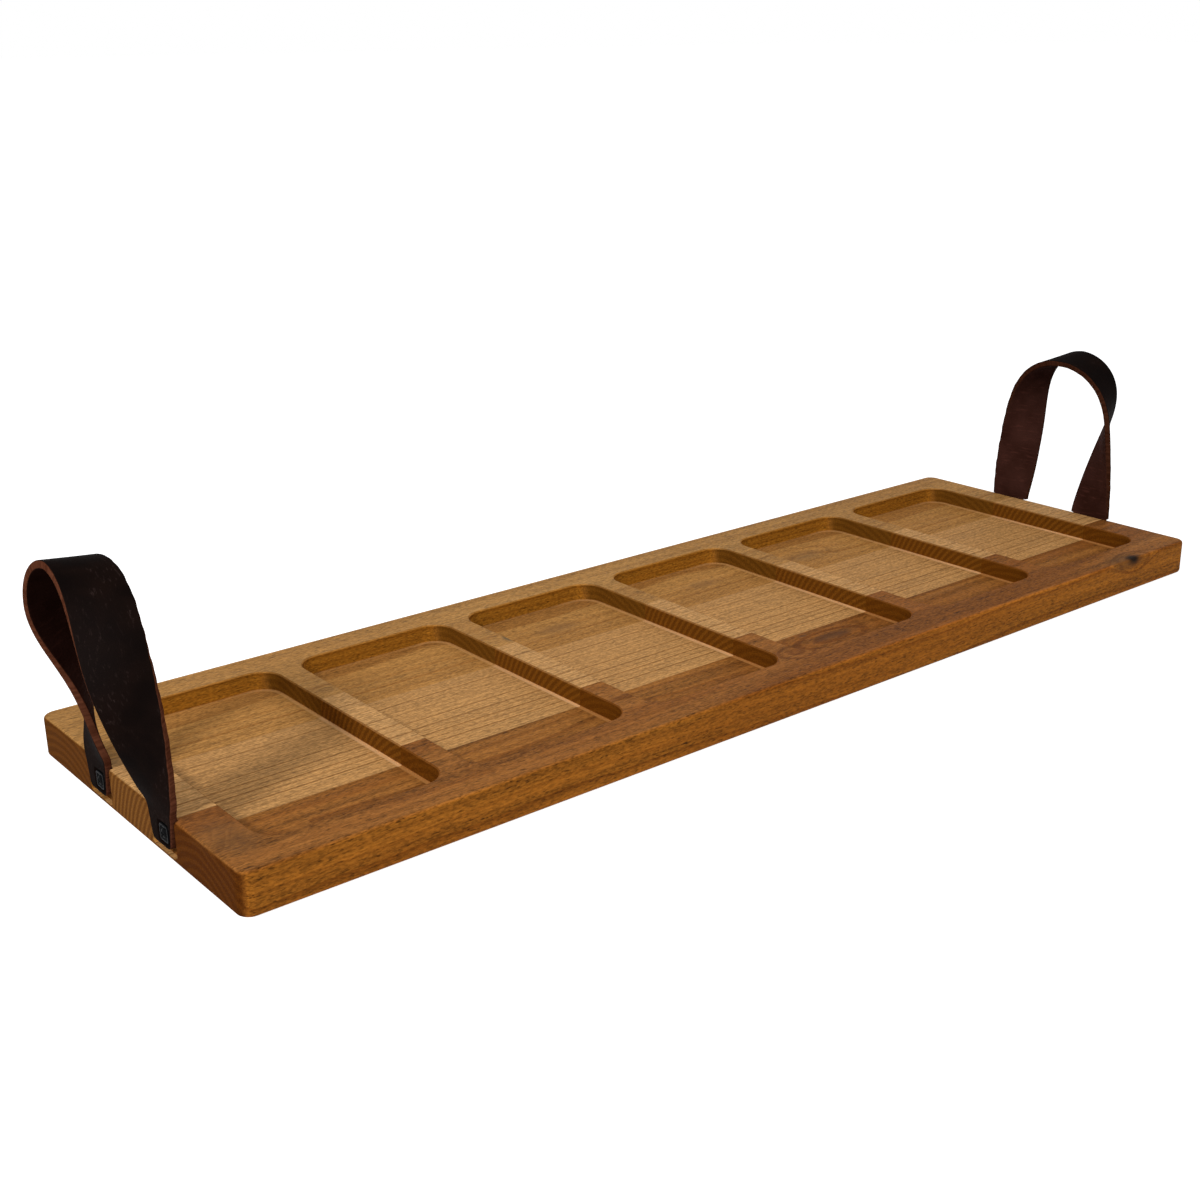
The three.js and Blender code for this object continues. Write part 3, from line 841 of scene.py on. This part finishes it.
# Newton's method: rounds at most, error to reach, largest move as a share of the guess, and its trial shift
SOLVE_ROUNDS = 60
SOLVE_ERROR = 1e-9
SOLVE_MOVE = 0.2
SOLVE_SHIFT = 1e-4

StrapPath = namedtuple("StrapPath", "distance position outer across")
LegRings = namedtuple("LegRings", "rings flat sides")


def leg_distances(sizes):
    """Distances along a leg from the bend line, closer together at the tail's rounded end."""
    tail_length = HINGE[2] - TAIL_BOX[0].z
    turn = np.linspace(0, math.pi / 2, TAIL_END_STEPS, endpoint=False)
    rounded = sizes.tail_corner * (1 - np.cos(turn))
    plain = np.linspace(sizes.tail_corner, tail_length + sizes.leg_length, LEG_STEPS + 1)
    return np.concatenate([rounded, plain]) - tail_length


def walk_leg(sizes, curvature, twist_rate, bend_centre):
    """Walk the front leg of the right strap from its tail's end to the crown.

    The strap bends only across its thickness and twists about its own length, so at each step the way
    along it turns towards the inner side by the bend, and its sides turn about that way by the twist. The
    bend is the crown's curvature, which sets in over a ramp, less the lean at the bend line.
    """
    distance = leg_distances(sizes)
    step = np.diff(distance)
    middle = (distance[1:] + distance[:-1]) / 2
    ramp = sizes.bend_ramp / 2
    bend = curvature * step * smooth_rise(middle, bend_centre - ramp, bend_centre + ramp)
    bend -= sizes.lean * np.diff(smooth_rise(distance, -BEND_LINE_HALF, BEND_LINE_HALF))
    eased = smooth_rise(middle, sizes.twist_hold, sizes.leg_length)
    started = smooth_rise(middle, -BEND_LINE_HALF / 2, BEND_LINE_HALF / 2)
    twist = twist_rate * step * started * (1 - (1 - sizes.twist_left) * eased)

    position = np.array([HINGE[0], -sizes.spacing / 2, TAIL_BOX[0].z])
    along = np.array([0.0, 0.0, 1.0])
    outer = np.array([1.0, 0.0, 0.0])
    across = np.array([0.0, -1.0, 0.0])
    rows = [(position, outer, across, along)]
    for length_now, bend_now, twist_now in zip(step, bend, twist):
        bent_along = along * math.cos(bend_now) - outer * math.sin(bend_now)
        bent_outer = outer * math.cos(bend_now) + along * math.sin(bend_now)
        position = position + (along + bent_along) * length_now / 2
        outer = bent_outer * math.cos(twist_now) + across * math.sin(twist_now)
        across = across * math.cos(twist_now) - bent_outer * math.sin(twist_now)
        along = bent_along
        rows.append((position, outer, across, along))
    return distance, np.array(rows)


def crown_error(sizes, unknowns):
    """How far the crown is from lying level, straight across the tray and midway between the legs."""
    position, _, _, along = walk_leg(sizes, *unknowns)[1][-1]
    return np.array([along[0], along[2], position[1] / sizes.spacing])


def solve_leg(sizes):
    """Find the crown's curvature, the twist and the place of the bend by Newton's method.

    It starts from a rough guess of the three, worked out from the leg's length.
    """
    unknowns = np.array([4 / sizes.leg_length, 2 / sizes.leg_length, 0.6 * sizes.leg_length])
    largest_move = SOLVE_MOVE * unknowns
    for _ in range(SOLVE_ROUNDS):
        error = crown_error(sizes, unknowns)
        if np.linalg.norm(error) < SOLVE_ERROR:
            distance, rows = walk_leg(sizes, *unknowns)
            return StrapPath(distance, rows[:, 0], rows[:, 1], rows[:, 2])
        shifts = np.diag(SOLVE_SHIFT * largest_move)
        columns = [(crown_error(sizes, unknowns + shift) - error) / shift.sum() for shift in shifts]
        move = -np.linalg.solve(np.array(columns).T, error)
        unknowns = unknowns + move / max(1, np.max(np.abs(move) / largest_move))
    raise RuntimeError("the strap's legs don't meet at the crown")


def strap_profile(radius, half_thickness):
    """Points round the strap's section: share of the way across, offset across, height and side.

    The outer face runs from the far edge to the near one and the inner face back. Quarter rounds join
    them to the straight middle of each edge.
    """
    turn = np.linspace(0, math.pi / 2, CORNER_STEPS + 1)
    straight = half_thickness - radius
    faces = np.linspace(1, 0, FACE_STEPS + 1)[1:-1]
    flat = np.zeros_like(faces)
    zero = np.zeros_like(turn)
    rise = radius * np.cos(turn)
    reach = radius * np.sin(turn)
    parts = [
        (faces, flat, flat + half_thickness, flat + 1),
        (zero, -reach, straight + rise, np.cos(turn)),
        (zero, -reach[::-1], -straight - rise[::-1], -np.cos(turn[::-1])),
        (faces[::-1], flat, flat - half_thickness, flat - 1),
        (zero + 1, reach, -straight - rise, -np.cos(turn)),
        (zero + 1, reach[::-1], straight + rise[::-1], np.cos(turn[::-1])),
    ]
    return [np.concatenate(column) for column in zip(*parts)]


def leg_rings(sizes, path, plate_across, shoulder, rise, bow):
    """Rings of a front leg of the right strap, with metres along and across it, and each point's side.

    The tail's taper, the shoulder and the rounded lower corners set both edges. The outer face is pressed
    in round the clamp plate by a smooth square hollow. Soft leather settles: the lower leg bows in by a
    squared sine of the way along it, and the crown rises or sags.
    """
    half_thickness = (TAIL_BOX[1].x - TAIL_BOX[0].x) / 2
    from_end = path.distance - path.distance[0]
    tail = np.clip(from_end / (TAIL_BOX[1].z - TAIL_BOX[0].z), 0, 1)
    tail_width = sizes.tail_end_width + (sizes.tail_width - sizes.tail_end_width) * tail
    above_board = path.distance + HINGE[2] - BOARD_TOP
    widened = smooth_rise(above_board, 0, shoulder)
    left_over = np.clip(sizes.tail_corner - from_end, 0, None)
    inset = sizes.tail_corner - np.sqrt(sizes.tail_corner**2 - left_over**2)
    full = sizes.width / 2
    far = (sizes.tail_offset + tail_width / 2) * (1 - widened) + full * widened - inset
    near = (sizes.tail_offset - tail_width / 2) * (1 - widened) - full * widened + inset
    ripple = sum(tall * np.sin(path.distance * turn + start) for tall, turn, start in EDGE_RIPPLES)
    far = far + ripple * smooth_rise(from_end, *RIPPLE_START)

    radius = sizes.edge_radius
    profile_share, offset, height, side = strap_profile(radius, half_thickness)
    blunt = np.clip(radius - from_end, 0, None)
    thinning = (half_thickness - radius + np.sqrt(radius**2 - blunt**2)) / half_thickness
    low_edge = near[:, None] + radius
    sideways = low_edge + profile_share * (far[:, None] - radius - low_edge) + offset
    out = height * thinning[:, None]

    plate_half = (PLATE_BOX[1].y - PLATE_BOX[0].y) / 2
    plate_height = (PLATE_BOX[1].z + PLATE_BOX[0].z) / 2 - TAIL_BOX[0].z
    lengthways = np.broadcast_to(from_end[:, None], sideways.shape)
    from_plate = np.abs(np.stack([sideways - plate_across, lengthways - plate_height]))
    square_reach = (from_plate**6).sum(axis=0) ** (1 / 6)
    hollow = 1 - smooth_rise(square_reach, *(plate_half + margin for margin in HOLLOW_MARGINS))
    on_outer_face = side > 0.99
    out = out - sizes.plate_hollow * hollow * on_outer_face

    rings = path.position[:, None] + path.outer[:, None] * out[..., None]
    rings = rings + path.across[:, None] * sideways[..., None]
    bowed = np.clip(path.distance / sizes.bow_length, 0, 1)
    settled = np.zeros((len(bowed), 1, 3))
    settled[:, 0, 0] = -bow * np.sin(math.pi * bowed) ** 2
    settled[:, 0, 2] = rise * smooth_rise(path.distance, sizes.leg_length / 10, sizes.leg_length)
    flat = np.stack([lengthways, sideways], -1)
    return LegRings(rings + settled, flat, np.broadcast_to(side, sideways.shape))


def strap_piece(name, side, front, rear, material):
    """One strap: a front leg, then the mirror image of a rear one walked back from the crown.

    The left strap is the same turned half round, by the sign of its side in X and Y.
    """
    rings = np.concatenate([front.rings, (rear.rings * (1, -1, 1))[-2::-1]]) * (side, side, 1)
    whole_length = 2 * front.flat[-1, 0, 0]
    flat = np.concatenate([front.flat, ((whole_length, 0) + rear.flat * (-1, 1))[-2::-1]])
    sides = np.concatenate([front.sides, rear.sides[-2::-1]])
    piece = tube_piece(name, rings, material, "strap_side", sides)
    mesh = piece.data
    corners = np.empty(len(mesh.loops), int)
    mesh.loops.foreach_get("vertex_index", corners)
    spots = np.concatenate([flat.reshape(-1, 2), flat[[0, -1]].mean(axis=1)])
    layer = mesh.uv_layers.new(name="strap")
    layer.data.foreach_set("uv", spots[corners].astype(np.float32).ravel())
    return piece


class TRAY_OT_make_straps(bpy.types.Operator):
    """Make each strap as one strip of leather from tail to tail, with a bend at the line where the loop
    swings
    """

    bl_idname = "tray.make_straps"
    bl_label = "Make Straps"

    def execute(self, context):
        sizes = context.scene.tray_straps
        material = leather_finish(context.scene.tray_colours)
        path = solve_leg(sizes)
        for end, side in ENDS.items():
            legs = []
            for leg, leg_side in LEGS.items():
                low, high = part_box(f"right_{leg}_plate")
                plate_across = leg_side * (low.y + high.y) / 2 - sizes.spacing / 2
                shoulder = getattr(sizes, f"{end}_shoulder")
                rise = getattr(sizes, f"{end}_rise")
                # Half a turn takes a front leg to the rear of the left end
                bow = sizes.rear_bow if end == "left" and leg == "front" else 0
                legs.append(leg_rings(sizes, path, plate_across, shoulder, rise, bow))
            piece = strap_piece(f"{end}_strap", side, *legs, material)
            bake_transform(piece)
            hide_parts(f"{end}_strap_loop", f"{end}_front_tail", f"{end}_rear_tail")
        return {"FINISHED"}


# Clamp plates and screws

PLATE_CORNER_STEPS = 10
RIM_STEPS = 5
SCREW_TURN_STEPS = 96
DOME_STEPS = 26

# The plate: rounding of its rim, bevel of its back, half size of the dish's last ring, least corner, wear
RIM_ROUNDING = 0.00025
BACK_BEVEL = 0.0002
DISH_MIDDLE = 0.0012
LEAST_CORNER = 0.0004
RIM_WEAR = 0.8

# The screw's cross recess: half width and reach of an arm with how soft each is, depth and lowest height
ARM_HALF = 0.00032
ARM_HALF_SOFT = 0.0001
ARM_REACH = 0.0013
ARM_REACH_SOFT = 0.0002
RECESS_DEPTH = 0.0006
RECESS_LOWEST = 0.0002

# Height of the lip under the screw's dome, and the wear round its head
HEAD_LIP = 0.0001
HEAD_WEAR = 0.35


def rounded_squares(half_sizes, radii):
    """Rounded squares, one for each half size: quarter rounds about corners pulled in by the radius."""
    turn = (np.arange(4)[:, None] + np.linspace(0, 1, PLATE_CORNER_STEPS + 1)) * math.pi / 2
    signs = np.array([[1, 1], [-1, 1], [-1, -1], [1, -1]])
    centre = signs[None, :, None, :] * (half_sizes - radii)[:, None, None, None]
    arc = np.stack([np.cos(turn), np.sin(turn)], -1)[None] * radii[:, None, None, None]
    return (centre + arc).reshape(len(half_sizes), -1, 2)


def plate_rings(sizes):
    """Rings of a plate about its middle, with X out of the board: back, rounded rim, dish.

    Each ring is a rounded square at an inset from the plate's outline and at a height. Quarter rounds
    join the rim's sides to its top, and they are worn.
    """
    half = (PLATE_BOX[1].y - PLATE_BOX[0].y) / 2
    thickness = PLATE_BOX[1].x - PLATE_BOX[0].x
    rim = sizes.plate_rim
    dish = thickness - sizes.plate_rim_height
    soft = RIM_ROUNDING
    turn = np.linspace(0, math.pi / 2, RIM_STEPS)
    insets = [
        [BACK_BEVEL, 0.0],
        soft * (1 - np.cos(turn)),
        rim - soft + soft * np.sin(turn),
        [rim + soft, half - DISH_MIDDLE],
    ]
    heights = [
        [0.0, BACK_BEVEL],
        thickness - soft + soft * np.sin(turn),
        thickness - soft + soft * np.cos(turn),
        [dish, dish],
    ]
    inset = np.concatenate(insets)
    height = np.concatenate(heights)
    outline = rounded_squares(half - inset, np.maximum(sizes.plate_corner - inset, LEAST_CORNER))
    out = np.broadcast_to(height[:, None, None], outline.shape[:2] + (1,))
    first_round = len(insets[0])
    worn = np.zeros(len(inset))
    worn[first_round : first_round + 2 * RIM_STEPS] = RIM_WEAR
    return np.concatenate([out, outline], -1), np.broadcast_to(worn[:, None], outline.shape[:2])


def screw_rings(sizes):
    """Rings of a screw about its seat, with X out of the board: point, shank, domed head.

    The dome is a quarter ellipse turned about X. A cross recess lowers it by a smooth step over each arm.
    """
    head = sizes.head_diameter / 2
    shank = sizes.shank_diameter / 2
    screw_length = SCREW_BOX[1].x - SCREW_BOX[0].x - sizes.head_height
    turn = np.linspace(0, math.pi / 2, DOME_STEPS)[1:]
    stem_radius = [shank * 0.05, shank, shank, head * 0.9, head]
    stem_height = [-screw_length, sizes.tip_length - screw_length, 0, 0, HEAD_LIP]
    radius = np.concatenate([stem_radius, head * np.cos(turn)])
    radius[-1] = head * 0.01
    height = np.concatenate([stem_height, sizes.head_height * np.sin(turn)])
    angle = np.linspace(0, math.tau, SCREW_TURN_STEPS, endpoint=False)
    radius = radius[:, None]
    height = height[:, None]
    y = radius * np.cos(angle)
    z = radius * np.sin(angle)
    arm = np.minimum(np.abs(y), np.abs(z))
    within = 1 - smooth_rise(arm, ARM_HALF - ARM_HALF_SOFT, ARM_HALF + ARM_HALF_SOFT)
    within = within * (1 - smooth_rise(radius, ARM_REACH - ARM_REACH_SOFT, ARM_REACH + ARM_REACH_SOFT))
    x = height - RECESS_DEPTH * within * (height > RECESS_LOWEST)
    worn = HEAD_WEAR * smooth_rise(radius, head * 0.8, head) * (height > 0)
    return np.stack([x, y, z], -1), np.broadcast_to(worn, y.shape)


def clamp_pieces(kind, rings, worn, seat, material):
    """Four like pieces, each moved to the middle of its solid, and turned round for the left end."""
    for end, side in ENDS.items():
        for leg in LEGS:
            low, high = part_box(f"{end}_{leg}_{kind}")
            middle = ((low.y + high.y) / 2, (low.z + high.z) / 2)
            placed = rings * (side, side, 1) + (side * seat, *middle)
            piece = tube_piece(f"{end}_{leg}_black_{kind}", placed, material, "worn", worn)
            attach(piece, "board")
            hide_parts(f"{end}_{leg}_{kind}")


class TRAY_OT_make_clamps(bpy.types.Operator):
    """Make the four square plates with raised rims and the four cross-recessed screws"""

    bl_idname = "tray.make_clamps"
    bl_label = "Make Clamps"

    def execute(self, context):
        sizes = context.scene.tray_hardware
        material = steel_finish(context.scene.tray_colours)
        rings, worn = plate_rings(sizes)
        clamp_pieces("plate", rings, worn, PLATE_BOX[0].x, material)
        rings, worn = screw_rings(sizes)
        clamp_pieces("screw", rings, worn, SCREW_BOX[1].x - sizes.head_height, material)
        return {"FINISHED"}


# Stage

# The camera, fitted to the board's edges: place in metres, angles in degrees, lens and sensor in millimetres
CAMERA_PLACE = (-0.59975, -0.65749, 0.34780)
CAMERA_AZIMUTH = -38.951
CAMERA_DOWN = 19.566
CAMERA_ROLL = -0.704
CAMERA_LENS = 47.957
CAMERA_SENSOR = 36

# The floor: half its side, its grey, and the glow that makes it white to the camera
FLOOR_HALF = 30.0
FLOOR_GREY = (0.75, 0.75, 0.75)
FLOOR_GLOW = 0.74

# Height on a sphere of 1 where the surroundings reach their overhead strength
OVERHEAD_HEIGHT = 0.9

WHITE = (1, 1, 1)
Lamp = namedtuple("Lamp", "size place aim")
KEY_LAMP = Lamp(size=0.25, place=(-1.60, -0.48, 1.10), aim=(-0.2, 0, 0))
FILL_LAMP = Lamp(size=1.2, place=(-0.35, -1.6, 1.0), aim=(0, 0, 0))


def make_camera():
    """The camera at the place and angle of the picture's, with its field of view."""
    data = bpy.data.cameras.new("camera")
    data.sensor_width = CAMERA_SENSOR
    data.lens = CAMERA_LENS
    camera = bpy.data.objects.new("camera", data)
    bpy.context.scene.collection.objects.link(camera)
    turned = Matrix.Identity(4)
    for degrees, axis in ((CAMERA_AZIMUTH, "Z"), (90 - CAMERA_DOWN, "X"), (CAMERA_ROLL, "Z")):
        turned = turned @ Matrix.Rotation(math.radians(degrees), 4, axis)
    camera.matrix_world = Matrix.Translation(CAMERA_PLACE) @ turned
    bpy.context.scene.camera = camera


def make_floor():
    """A wide pale floor that keeps shadows and looks white to the camera."""
    half = FLOOR_HALF
    corners = [(-half, -half, 0), (half, -half, 0), (half, half, 0), (-half, half, 0)]
    mesh = bpy.data.meshes.new("floor")
    mesh.from_pydata(corners, [], [(0, 1, 2, 3)])
    graph = FinishGraph("floor_paper")
    material = graph.finish(
        Base_Color=FLOOR_GREY,
        Roughness=1.0,
        Specular_IOR_Level=0.0,
        Emission_Color=WHITE,
        Emission_Strength=graph.product(graph.seen(), FLOOR_GLOW),
    )
    floor = add_object("floor", mesh, material)


def make_world(studio):
    """White surroundings, bright overhead and dim at the horizon, which the camera sees as plain white."""
    world = bpy.data.worlds.new("studio")
    world.use_nodes = True
    bpy.context.scene.world = world
    graph = NodeGraph(world.node_tree)
    height = graph.split(graph.place().outputs["Generated"])[2]
    light = graph.rise(height, 0.0, OVERHEAD_HEIGHT, studio.horizon, studio.overhead)
    background = world.node_tree.nodes["Background"]
    graph.feed(background.inputs["Color"], WHITE)
    graph.feed(background.inputs["Strength"], graph.blend(graph.seen(), light, 1.0))


def make_lamp(name, watts, lamp):
    """A square lamp at its place, turned to the point that it aims at."""
    data = bpy.data.lights.new(name, "AREA")
    data.energy = watts
    data.size = lamp.size
    lamp_object = bpy.data.objects.new(name, data)
    bpy.context.scene.collection.objects.link(lamp_object)
    turned = (Vector(lamp.aim) - Vector(lamp.place)).to_track_quat("-Z", "Y").to_matrix().to_4x4()
    lamp_object.matrix_world = Matrix.Translation(lamp.place) @ turned


class TRAY_OT_set_stage(bpy.types.Operator):
    """Set the camera, the pale floor and the soft studio light"""

    bl_idname = "tray.set_stage"
    bl_label = "Set Stage"

    def execute(self, context):
        studio = context.scene.tray_studio
        context.scene.view_settings.view_transform = "Standard"
        make_camera()
        make_floor()
        make_world(studio)
        make_lamp("key", studio.key, KEY_LAMP)
        make_lamp("fill", studio.fill, FILL_LAMP)
        return {"FINISHED"}


class TRAY_PT_pieces(bpy.types.Panel):
    """The tray's pieces and their sizes"""

    bl_idname = "TRAY_PT_pieces"
    bl_label = "Serving Tray"
    bl_space_type = "VIEW_3D"
    bl_region_type = "UI"
    bl_category = "Tray"

    def draw(self, context):
        for operator in OPERATORS:
            self.layout.operator(operator.bl_idname)
        for group_name in GROUPS:
            group = getattr(context.scene, group_name)
            box = self.layout.box()
            for property_name in group.__annotations__:
                box.prop(group, property_name)


GROUPS = {
    "tray_straps": TrayStrapSizes,
    "tray_hardware": TrayHardwareSizes,
    "tray_colours": TrayColours,
    "tray_studio": TrayStudio,
}
OPERATORS = (TRAY_OT_dress_staves, TRAY_OT_make_straps, TRAY_OT_make_clamps, TRAY_OT_set_stage)
CLASSES = (*GROUPS.values(), *OPERATORS, TRAY_PT_pieces)


def register():
    """Register the classes, and give the scene their settings."""
    for each in CLASSES:
        bpy.utils.register_class(each)
    for group_name, group in GROUPS.items():
        setattr(bpy.types.Scene, group_name, bpy.props.PointerProperty(type=group))


def unregister():
    """Take the settings and the classes away again."""
    for group_name in GROUPS:
        delattr(bpy.types.Scene, group_name)
    for each in reversed(CLASSES):
        bpy.utils.unregister_class(each)


def main():
    """Make every piece and the stage."""
    register()
    bpy.ops.tray.dress_staves()
    bpy.ops.tray.make_straps()
    bpy.ops.tray.make_clamps()
    bpy.ops.tray.set_stage()


if __name__ == "__main__":
    main()
